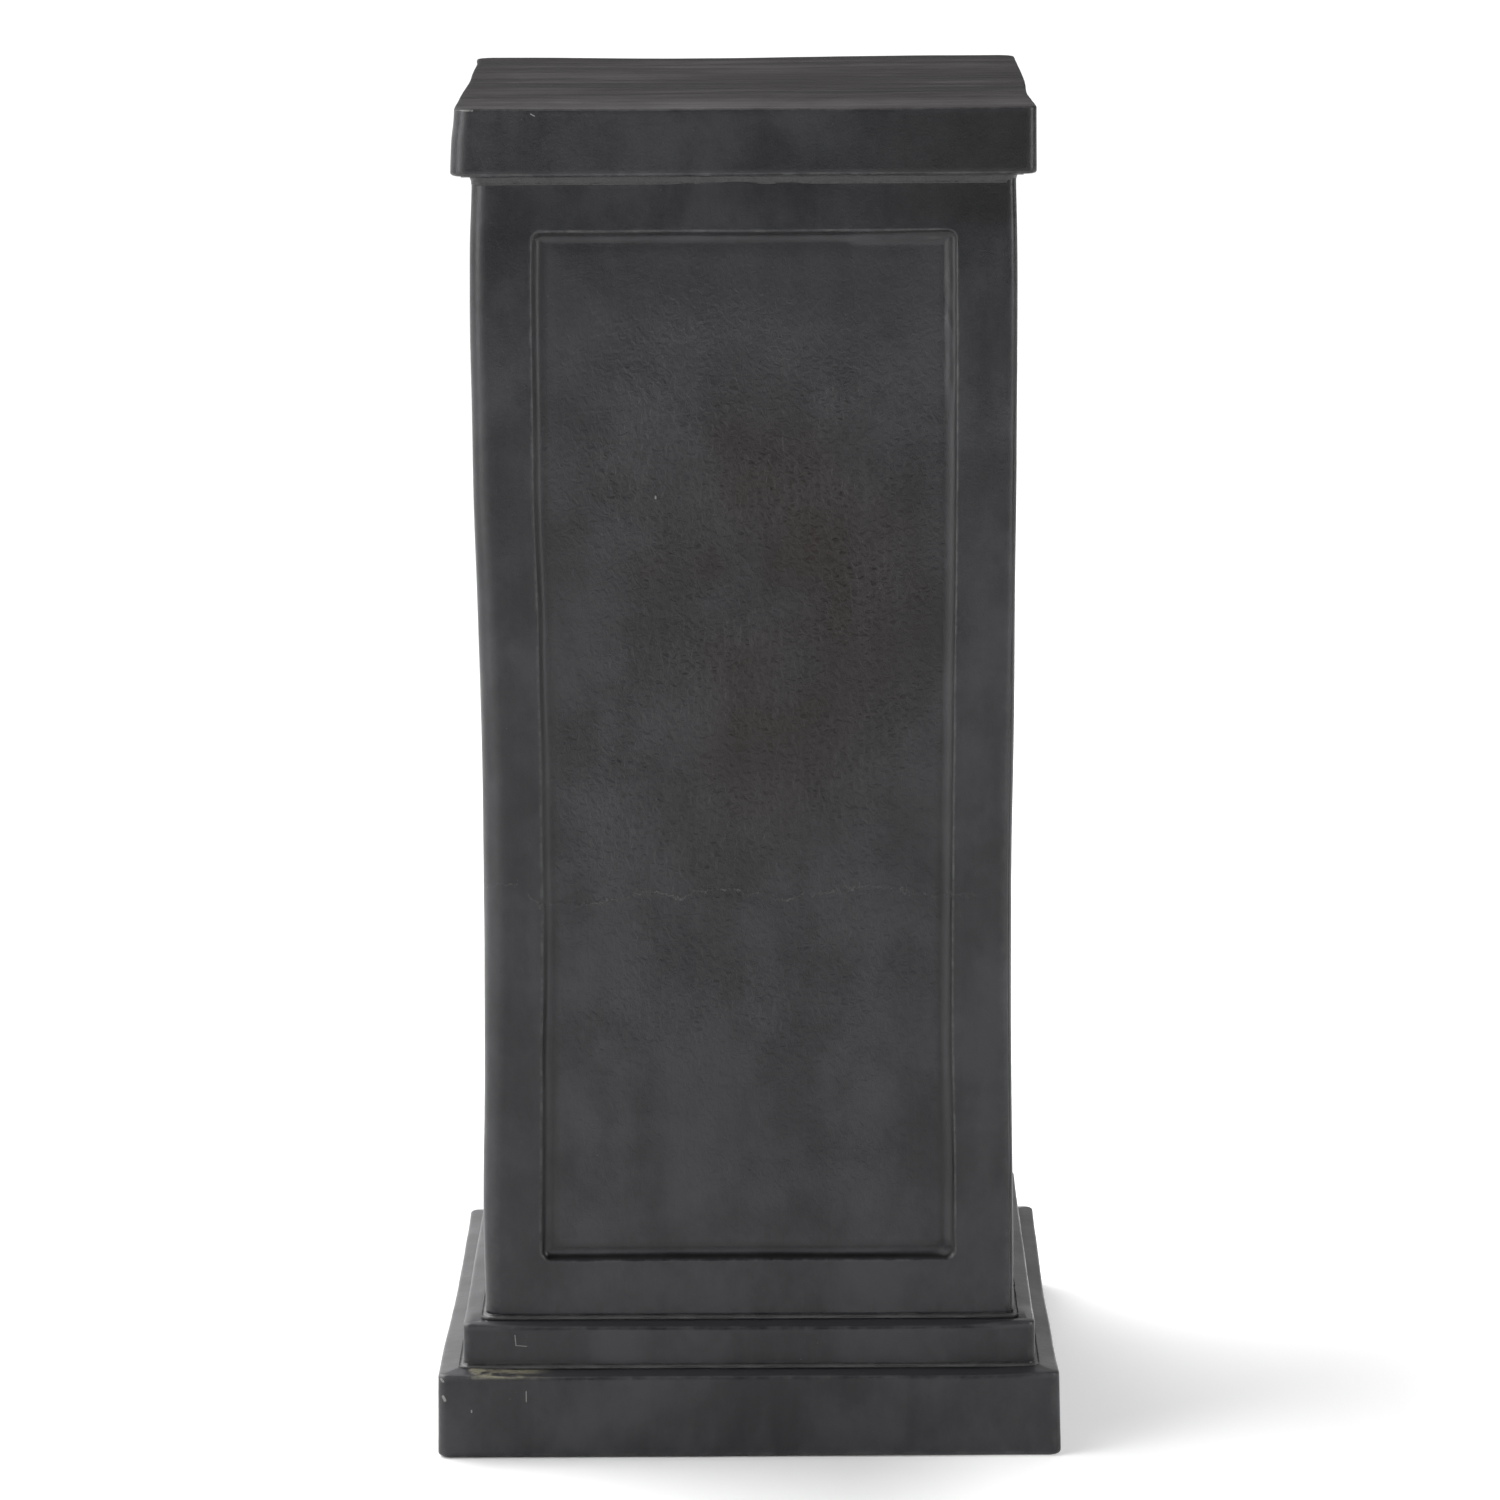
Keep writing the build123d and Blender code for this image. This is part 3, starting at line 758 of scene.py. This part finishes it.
def border_profile(inside, cove):
    """Depth of the panel's border at this distance inside its mouth: arris, slope and root.

    cove: 0 for an even slope, 1 for a crisper arris above a broad hollow root.
    """
    slope = np.radians(46 + 4 * cove)
    arris, root = (2.0 - 0.8 * cove) * MM, (3.8 + 4.2 * cove) * MM
    run = (PANEL_DEPTH - (arris + root) * (1 - np.cos(slope))) / np.sin(slope)
    width = (arris + root) * np.sin(slope) + run * np.cos(slope)
    from_root = np.clip(width - inside, 0, root * np.sin(slope))
    from_arris = np.clip(inside, 0, arris * np.sin(slope))
    shoulder = arris - np.sqrt(arris**2 - from_arris**2)
    straight = np.clip(inside - arris * np.sin(slope), 0, run * np.cos(slope)) * np.tan(slope)
    hollow = root * (1 - np.cos(slope)) - (root - np.sqrt(root**2 - from_root**2))
    return shoulder + straight + hollow


def noise_spot(along, level, side, apart=1.7):
    """Where a place on the walls lies in noise, with the four sides this far apart."""
    return np.stack([along, level, side * apart + 0 * along], axis=-1)


def panel_depth(along, level, side, moulded):
    """How deep the sunk panel is at places on the shaft's sides, and how far inside its mouth.

    moulded: True for the outer face, False for the plain and slightly larger recess behind it.
    """
    spot = noise_spot(along, level, side)
    growth = 0.0 if moulded else 1.8 * MM
    wander = layered_noise(spot, 90 * MM, 51, 3) * 0.5 * MM * moulded
    lean = 1.4 * MM * (level / (PANEL_LOW + PANEL_TOP) - 0.5) * (along < 0) * moulded
    across = abs(along) + lean - (PANEL_HALF_WIDTH + growth - PANEL_CORNER)
    half_height = (PANEL_TOP - PANEL_LOW) / 2 + growth
    upward = abs(level - (PANEL_LOW + PANEL_TOP) / 2) - (half_height - PANEL_CORNER)
    beyond = np.hypot(np.maximum(across, 0), np.maximum(upward, 0))
    beyond += np.minimum(np.maximum(across, upward), 0)
    inside = PANEL_CORNER - beyond + wander
    if not moulded:
        return PANEL_DEPTH * ramp(inside, 0, PANEL_BORDER), inside
    swell = 1.1 * ramp(inside, 9 * MM, 60 * MM) - 0.25 * hump(inside, 8.5 * MM, 2.5 * MM)
    shallow = 1 - 0.22 * hump(level, PANEL_LOW, 15 * MM)
    steeper = 1 + 0.15 * layered_noise(spot, 40 * MM, 53, 2) + 0.6 * hump(level, PANEL_LOW, 9 * MM)
    raised = swell * MM + drips(along, level, side, inside)
    cove = ramp(along, 60 * MM, 105 * MM)
    return border_profile(inside * steeper, cove) * shallow - raised, inside


def drips(along, level, side, inside):
    """Resin that ran into the root of the panel's right border and its bottom corner."""
    spot = noise_spot(along, level, side, 1)
    lumps = 0.8 + 0.5 * layered_noise(spot, 9 * MM, 55, 2)
    reach = ramp(level, 585 * MM, 610 * MM) * ramp(-level, -696 * MM, -686 * MM) * (along > 60 * MM)
    run = 1.1 * hump(inside, 5.0 * MM, 2.3 * MM) * lumps * reach
    corner = np.hypot(along - 112 * MM, level - 113 * MM)
    blob = 1.7 * hump(corner, 0, 4 * MM)
    crumbs = 0.7 * np.clip(layered_noise(spot, 6 * MM, 58, 2), 0, 1) * hump(corner, 8 * MM, 14 * MM)
    return (run + (blob + crumbs) * ramp(inside, 1 * MM, 4 * MM)) * MM


# The ragged edge of the upper layer of mat on the front, drawn as a painted highlight: (across, height,
# how pale) in mm
LAP_EDGE = np.array([
    (-150, 325, 0.0), (-134, 327, 0.3), (-127, 326, 0.3), (-119, 314, 0.2), (-104, 314, 0.0),
    (-91, 314, 0.8), (-82, 316, 0.9), (-60, 321, 0.6), (-49, 321, 1.0), (-35, 317, 0.5),
    (-28, 322, 0.9), (-6, 323, 1.0), (0, 319, 1.0), (8, 321, 1.0), (15, 318, 0.6), (25, 317, 0.7),
    (32, 319, 0.3), (47, 320, 0.3), (57, 323, 0.4), (70, 325, 0.5), (79, 323, 0.5), (87, 321, 0.5),
    (108, 319, 0.2), (150, 321, 0.0),
])
LAP_LOW, LAP_HIGH = 314 * MM, 331 * MM  # its rows of points lie close together between these


def lap_edge(along, level, side):
    """How far above the ragged edge of the mat, and how plainly the edge shows."""
    spot = noise_spot(along, 0 * along, side)
    unlike = np.where(side == FRONT, 0, 6 * MM) * layered_noise(spot, 60 * MM, 61, 3)
    across = np.where(side == FRONT, along, -along) / MM
    edge = np.interp(across, LAP_EDGE[:, 0], LAP_EDGE[:, 1]) * MM + unlike
    return level - edge, np.interp(across, LAP_EDGE[:, 0], LAP_EDGE[:, 2])


def lap_relief(above, shows):
    """The edge of the mat: a low lip with a soft fold below it."""
    lip = 0.10 * hump(above, 0, 1.5 * MM)
    fold = 0.22 * ramp(above, 1.5 * MM, -6 * MM) * ramp(above, -40 * MM, -8 * MM)
    return (lip + fold) * (0.2 + shows) * MM


SHAFT_CORNERS = (9 * MM, 5 * MM, 6.5 * MM, 5 * MM)  # front left, front right, rear right, rear left
SHAFT_SOFTENED = (5 * MM, 2 * MM, 2 * MM, 2 * MM)  # how much rounder they are at mid height


def shaft_outline():
    """A shaft wall's outline: up its outer face, over the head flange, down inside, foot flange."""
    levels = steps_between(SHAFT_Z, SOFFIT_Z, 3.6 * MM, [
        (PANEL_LOW - 1 * MM, PANEL_LOW + 1.8 * MM, 0.35 * MM),
        (PANEL_LOW + 1.8 * MM, PANEL_LOW + 8 * MM, 0.65 * MM),
        (PANEL_TOP - 8 * MM, PANEL_TOP - 1.8 * MM, 0.65 * MM),
        (PANEL_TOP - 1.8 * MM, PANEL_TOP + 1 * MM, 0.35 * MM),
        (LAP_LOW, LAP_HIGH, 0.7 * MM),
    ])
    foot_z, head_z = SHAFT_Z + TIER_WALL, SOFFIT_Z - TIER_WALL
    inner_levels = steps_between(foot_z, head_z, 14 * MM, [
        (PANEL_LOW - 4 * MM, PANEL_LOW + 8 * MM, 3 * MM),
        (PANEL_TOP - 8 * MM, PANEL_TOP + 4 * MM, 3 * MM),
    ])[::-1]
    return np.concatenate([
        np.stack([0 * levels + SHAFT_HALF, levels], axis=1),
        [(FLANGE_INNER, SOFFIT_Z), (FLANGE_INNER, head_z)],
        np.stack([0 * inner_levels + SHAFT_INNER, inner_levels], axis=1),
        [(FLANGE_INNER, foot_z), (FLANGE_INNER, SHAFT_Z)],
    ])


def shaft_places():
    """Places along a shaft wall from -1 to 1, closer at the panel's borders and the corners."""
    bands = [
        (PANEL_HALF_WIDTH - 8 * MM, PANEL_HALF_WIDTH - 2 * MM, 0.65 * MM),
        (PANEL_HALF_WIDTH - 2 * MM, PANEL_HALF_WIDTH + 1 * MM, 0.35 * MM),
        (SHAFT_HALF - 10 * MM, SHAFT_HALF, 1.2 * MM),
    ]
    return mirrored_steps(SHAFT_HALF, 2.8 * MM, bands) / SHAFT_HALF


def shaft_marks(along, level, side, inside):
    """What the coat shows on a shaft wall: painted shade in the border roots and on the head rail at the
    right, brown clouds, wrinkles and a painted sheen on the upper panel.
    """
    spot = noise_spot(along, level, side)
    panel = ramp(inside, 3 * MM, 12 * MM)
    # painted shade: darker in the slope and root of the panel's border, more so lower down
    root = hump(inside, 2.4 * MM, 1.3 * MM) + 0.5 * hump(inside, 7.6 * MM, 1.6 * MM)
    root *= 1.0 - 0.4 * ramp(level, 200 * MM, 420 * MM)
    # painted shade: the head rail darkens towards the right, under the cap
    under_cap = 0.75 * ramp(along, 20 * MM, 140 * MM) * ramp(level, 690 * MM, 705 * MM)
    cloud = ramp(layered_noise(spot, 75 * MM, 57, 3), -0.35, 0.35)
    brown = panel * (0.15 + cloud * hump(along, 5 * MM, 85 * MM)) * hump(level, 490 * MM, 150 * MM)
    rough = panel * (0.5 + 0.5 * ramp(level, 170 * MM, 330 * MM))
    rough *= 0.3 + 0.7 * ramp(inside, 5 * MM, 60 * MM)
    rough *= 0.6 + 0.8 * ramp(layered_noise(spot, 50 * MM, 59, 2), -0.5, 0.5)
    rough *= 1 - 0.75 * ramp(level, 600 * MM, 665 * MM)
    # painted sheen: the panel is paler towards its top
    dust_and_sheen = panel * (0.35 + 0.3 * cloud) * ramp(level, 560 * MM, 660 * MM)
    return {"root": np.maximum(root, under_cap), "brown": brown, "rough": rough, "dust_and_sheen": dust_and_sheen}


def shaft_half(name, sides, seed):
    """One L-shaped half of the shaft: flanges, panelled outer wall and plain inner wall."""
    outline = shaft_outline()
    outside = outline[:, 0] > SHAFT_INNER + SHAFT_WALL / 2
    softened = np.array(SHAFT_SOFTENED) * hump(outline[:, [1]], 330 * MM, 170 * MM)
    radii = np.where(outside[:, None], np.array(SHAFT_CORNERS) + softened, 4.0 * MM)
    radii[outline[:, 0] < SHAFT_INNER - SHAFT_WALL] = 0.5 * MM
    points = square_rows(shaft_places(), outline[:, 0], radii, outline[:, 1], sides)
    side = np.argmax(points[..., :2] @ OUTWARD.T, axis=-1)
    along = np.sum(points[..., :2] * ALONG[side], axis=-1)
    level = points[..., 2]
    deep, inside = panel_depth(along, level, side, True)
    back, _ = panel_depth(along, level, side, False)
    inner_wall = abs(outline[:, 0] - SHAFT_INNER) < 0.1 * MM
    outward = np.concatenate([OUTWARD[side], 0 * level[..., None]], axis=-1)
    points[outside] += shaft_warp(points)[outside] - (outward * deep[..., None])[outside]
    points[inner_wall] -= (outward * back[..., None])[inner_wall]
    held = ramp(level, SHAFT_Z, SHAFT_Z + 4 * MM) * ramp(-level, -SOFFIT_Z, 4 * MM - SOFFIT_Z)
    above, shows = lap_edge(along, level, side)
    scuffed = 0.3 * hump(along, -121 * MM, 5 * MM) * hump(level, 635 * MM, 8 * MM) * (side == FRONT)
    scuffs = scuffed * layered_noise(points, 5 * MM, 63, 2) * MM
    free = held * outside[:, None]
    relief = (moulded_relief(points, seed) + lap_relief(above, shows) + scuffs) * free
    marks = shaft_marks(along, level, side, inside)
    values = {mark: amount * outside[:, None] for mark, amount in marks.items()}
    values |= {"above": above / MM, "torn": shows * free}
    return shell_piece(name, points, outside, relief, ring=False, values=values)


def bead_piece(name, half, corner, z, reach, rise, lip, warp, seed):
    """A hollow-faced bead of paste, wiped by hand, with an upright lip along its toe."""
    hollow = abs(rise) - lip
    sweep = 2 * math.atan(reach / hollow)
    turn = np.linspace(sweep, 0, 9)
    out = half + reach * (1 - np.cos(turn)) / (1 - math.cos(sweep))
    up = lip + hollow * (1 - np.sin(turn) / math.sin(sweep))
    arc = np.stack([out, z + math.copysign(1, rise) * up], axis=1)
    toe = [(half + reach, z + share * lip) for share in (0, 0.4, 0.55, 0.9)] if lip else []
    outline = np.array([*toe, *arc, (half - 0.3 * MM, z + rise), (half - 0.3 * MM, z)])
    if rise < 0:
        outline = outline[::-1]
    places = mirrored_steps(1, 2.2 * MM / half, [(1 - 8 * MM / half, 1, 1 * MM / half)])
    points = square_rows(places, outline[:, 0], np.full((len(outline), 4), corner), outline[:, 1])
    points += warp(points)
    face = (outline[:, 0] > half - 0.1 * MM)[:, None]
    normals = grid_normals(points, True, True)
    points += normals * (layered_noise(points, 11 * MM, seed, 3) * 0.25 * MM * face)[..., None]
    rows, columns = points.shape[:2]
    # painted highlight: the upper part of the toe's lip is paler, standing in for the bright line it
    # catches
    at_toe = (outline[:, 1] > z + 0.5 * lip) & (outline[:, 1] < z + 1.02 * lip)
    paler_band = at_toe[:, None] * np.ones(columns)
    faces = strip_faces(rows, columns, True, True)
    return mesh_piece(name, points, faces, [BLACK_PASTE], values={"toe": paler_band})


def soffit_piece():
    """The ring that closes the cap underneath."""
    flat, fine = SHAFT_HALF + CAP_BEAD_REACH, 3 * MM
    rim = CAP_INNER
    edge_z = SOFFIT_Z + (RIM_Z - SOFFIT_Z) * (rim - flat) / (CAP_HALF - flat)
    outline = rounded_outline([
        (rim, edge_z, 0, fine),
        (rim, RIM_Z + 1 * MM, 0, fine),
        (rim, RING_TOP_Z, 0, 3 * fine),
        (FLANGE_INNER, RING_TOP_Z, 0, fine),
        (FLANGE_INNER, SOFFIT_Z, 0, 3 * fine),
        (flat, SOFFIT_Z, 0, fine / 2),
    ], fine)
    places = mirrored_steps(1, 2.5 * MM / rim)
    points = square_rows(places, outline[:, 0], np.full((len(outline), 4), 0.5 * MM), outline[:, 1])
    outside = outline[:, 1] < RIM_Z + 1.1 * MM
    relief = moulded_relief(points, 71) * 0.3 * (outside & (outline[:, 0] > flat))[:, None]
    return shell_piece("soffit_moulding", points, outside, relief)


# ---- the pieces ----
def show(piece, slot, *nodes):
    """Puts a piece on the plinth in place of CAD nodes."""
    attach(piece, "root")
    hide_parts(*nodes)


show(plinth_piece(), "black_laminate", "plinth_shell")
show(step_piece(), "black_laminate", "step_shell")
show(cap_piece(), "black_laminate", "cap_shell")
show(soffit_piece(), "black_laminate", "soffit_ring")
show(shaft_half("shaft_front_left", (LEFT, FRONT), 81), "black_laminate", "shaft_shell_front_left")
show(shaft_half("shaft_rear_right", (RIGHT, REAR), 87), "black_laminate", "shaft_shell_rear_right")

LIP = 1.8 * MM
CAP_PASTE_RISE = -CAP_BEAD_DROP - 0.6 * MM
cap_paste = bead_piece("cap_paste", SHAFT_HALF, 6 * MM, SOFFIT_Z, CAP_BEAD_REACH, CAP_PASTE_RISE, 0,
                       shaft_warp, 91)
shaft_paste = bead_piece("shaft_paste", SHAFT_HALF, 6 * MM, SHAFT_Z, BEAD_LEG, BEAD_LEG, LIP,
                         shaft_warp, 93)
step_paste = bead_piece("step_paste", STEP_HALF, 4 * MM, STEP_Z, BEAD_LEG, BEAD_LEG, LIP, step_warp, 97)
show(cap_paste, "bonding_paste", "cap_bead")
show(shaft_paste, "bonding_paste", "shaft_bead")
show(step_paste, "bonding_paste", "step_bead")

GRAIN_X, GRAIN_Y = (0.06, 1, 1), (1, 0.06, 1)
GRAINS = {"front": GRAIN_X, "rear": GRAIN_X, "left": GRAIN_Y, "right": GRAIN_Y}
PINE = (0.52, 0.36, 0.19, 1), (0.36, 0.21, 0.09, 1)
PLYWOOD = (0.58, 0.42, 0.25, 1), (0.44, 0.28, 0.14, 1)
FINISHES = {  # for the nodes whose names start like this
    "seam_tape": glass_mat(),
    "mat_band": glass_mat(),
    "corner_block": timber("pine_block", GRAIN_X, *PINE),
    "foot_pad": pad_rubber(),
    "deck_board": timber("plywood", GRAIN_Y, *PLYWOOD),
}
for place in ("cap", "head", "foot", "step", "base"):
    for side, grain in GRAINS.items():
        FINISHES[f"{place}_batten_{side}"] = timber(f"pine_{place}_{side}", grain, *PINE)
for group in ("cap", "shaft", "base", "block", "pad"):
    FINISHES[f"{group}_screws"] = zinc_steel()
for name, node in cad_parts.items():
    for start, finish in FINISHES.items():
        if name.startswith(start):
            node.data.materials.clear()
            node.data.materials.append(finish)


# ---- floor, light and camera ----
def floor():
    """A plain pale studio floor that ends behind the camera.

    Its glow lightens the shadow on the right, and the far floor that only the lacquer mirrors.
    """
    n = Nodes("studio_floor")
    n.shader.inputs["Base Color"].default_value = (0.88, 0.88, 0.88, 1)
    n.shader.inputs["Roughness"].default_value = 0.9
    n.shader.inputs["Specular IOR Level"].default_value = 0.1
    n.shader.inputs["Emission Color"].default_value = (1, 1, 1, 1)
    beside = n.spread(n.axis("Y"), -0.45, -0.25, 0, 0.36)
    fades = n.spread(n.axis("X"), 0.24, 0.40, 1, 0.55)
    rightward = n.maths("MULTIPLY", n.spread(n.axis("X"), 0.05, 0.18), fades)
    shadow_fill = n.maths("MULTIPLY", beside, rightward)
    far_end = n.spread(n.axis("Y"), -1.2, -2.4, 0, 0.40)
    leftward = n.spread(n.axis("X"), 0.0, -0.45)
    left_end = n.maths("MULTIPLY", n.spread(n.axis("Y"), -0.6, -1.0, 0, 0.25), leftward)
    glow = n.maths("ADD", n.maths("ADD", shadow_fill, far_end), left_end)
    n.link(glow, n.shader.inputs["Emission Strength"])
    left, right, front, back = -8.0, 8.0, -4.8, 5.0
    corners = [(left, front, 0), (right, front, 0), (right, back, 0), (left, back, 0)]
    clearance = (0, 0, 0.2 * MM)
    piece = mesh_piece("studio_floor", np.array(corners) - clearance, [(0, 1, 2, 3)], [n.material])


def place_light(name, kind, place, target, **settings):
    """A light that points at a target and that the camera doesn't see."""
    light = bpy.data.lights.new(name, kind)
    for key, value in settings.items():
        setattr(light, key, value)
    holder = bpy.data.objects.new(name, light)
    holder.location = place
    holder.rotation_euler = (Vector(target) - Vector(place)).to_track_quat("-Z", "Y").to_euler()
    holder.visible_camera = False
    bpy.context.scene.collection.objects.link(holder)


def softbox(name, width, height, brightness, place, target):
    """A rectangular softbox of this brightness, in watts per square metre and steradian."""
    power = math.pi * width * height * brightness
    place_light(name, "AREA", place, target, shape="RECTANGLE", size=width, size_y=height, energy=power)


def facing(tree, direction, low, high, to_low, to_high):
    """A value that goes from to_low to to_high as the world's directions turn towards this one."""
    towards = tree.nodes.new("ShaderNodeVectorMath")
    towards.operation = "DOT_PRODUCT"
    towards.inputs[1].default_value = direction
    tree.links.new(tree.nodes.new("ShaderNodeTexCoord").outputs["Generated"], towards.inputs[0])
    sweep = tree.nodes.new("ShaderNodeMapRange")
    sweep.interpolation_type = "SMOOTHSTEP"
    for key, value in zip(RANGE_ENDS, (low, high, to_low, to_high)):
        sweep.inputs[key].default_value = value
    tree.links.new(towards.outputs["Value"], sweep.inputs["Value"])
    return sweep.outputs["Result"]


def surroundings():
    """A sweep behind the plinth, whitest on the left, and a dark room in front of it.

    The camera itself sees white all round.
    """
    world = bpy.data.worlds.new("studio")
    world.use_nodes = True
    tree = world.node_tree
    background = tree.nodes["Background"]
    lit = tree.nodes.new("ShaderNodeMath")
    lit.operation = "MULTIPLY"
    tree.links.new(facing(tree, (-0.35, 0.94, 0.0), -0.2, 0.6, 0.04, 1.2), lit.inputs[0])
    tree.links.new(facing(tree, (-1.0, 0.0, 0.0), -0.12, 0.10, 0.5, 1.0), lit.inputs[1])
    seen = tree.nodes.new("ShaderNodeMix")
    seen.inputs["B"].default_value = 1.1
    tree.links.new(tree.nodes.new("ShaderNodeLightPath").outputs["Is Camera Ray"], seen.inputs["Factor"])
    tree.links.new(lit.outputs["Value"], seen.inputs["A"])
    tree.links.new(seen.outputs["Result"], background.inputs["Strength"])
    background.inputs["Color"].default_value = (1, 1, 1, 1)
    bpy.context.scene.world = world


CAMERA_PLACE = (0.01974, -3.5609, 1.09032)
CAMERA_LENS, SENSOR_WIDTH = 149.79, 36.0  # mm
LOOK_LEFT, LOOK_DOWN, CAMERA_ROLL = 0.005066, 0.1988, -0.0057059  # radians


def camera():
    """A long lens, above the plinth's top and looking down a little."""
    data = bpy.data.cameras.new("camera")
    data.lens, data.sensor_width = CAMERA_LENS, SENSOR_WIDTH
    data.clip_end = 200.0
    holder = bpy.data.objects.new("camera", data)
    turn = Matrix.Rotation(LOOK_LEFT, 4, "Z") @ Matrix.Rotation(math.pi / 2 - LOOK_DOWN, 4, "X")
    turn = turn @ Matrix.Rotation(CAMERA_ROLL, 4, "Z")
    holder.matrix_world = Matrix.Translation(CAMERA_PLACE) @ turn
    bpy.context.scene.collection.objects.link(holder)
    bpy.context.scene.camera = holder


floor()
surroundings()
SUN_FROM = (-0.85, 0.33, 0.86)
MID_HEIGHT = (0, 0, 0.5)  # on the plinth's axis
place_light("key", "SUN", SUN_FROM, (0, 0, 0), energy=3.3, angle=math.radians(76))
softbox("left_softbox", 1.8, 2.0, 5.2, (-3.0, -1.75, 1.3), MID_HEIGHT)
softbox("left_fill", 1.1, 2.0, 1.2, (-1.95, -2.75, 1.3), MID_HEIGHT)
softbox("right_softbox", 1.4, 1.8, 7.4, (2.8, -1.9, 1.4), MID_HEIGHT)
softbox("ceiling_left", 2.4, 2.4, 2.0, (-2.2, 1.2, 2.8), (0, 0, 0.0))
camera()
bpy.context.scene.view_settings.view_transform = "Standard"
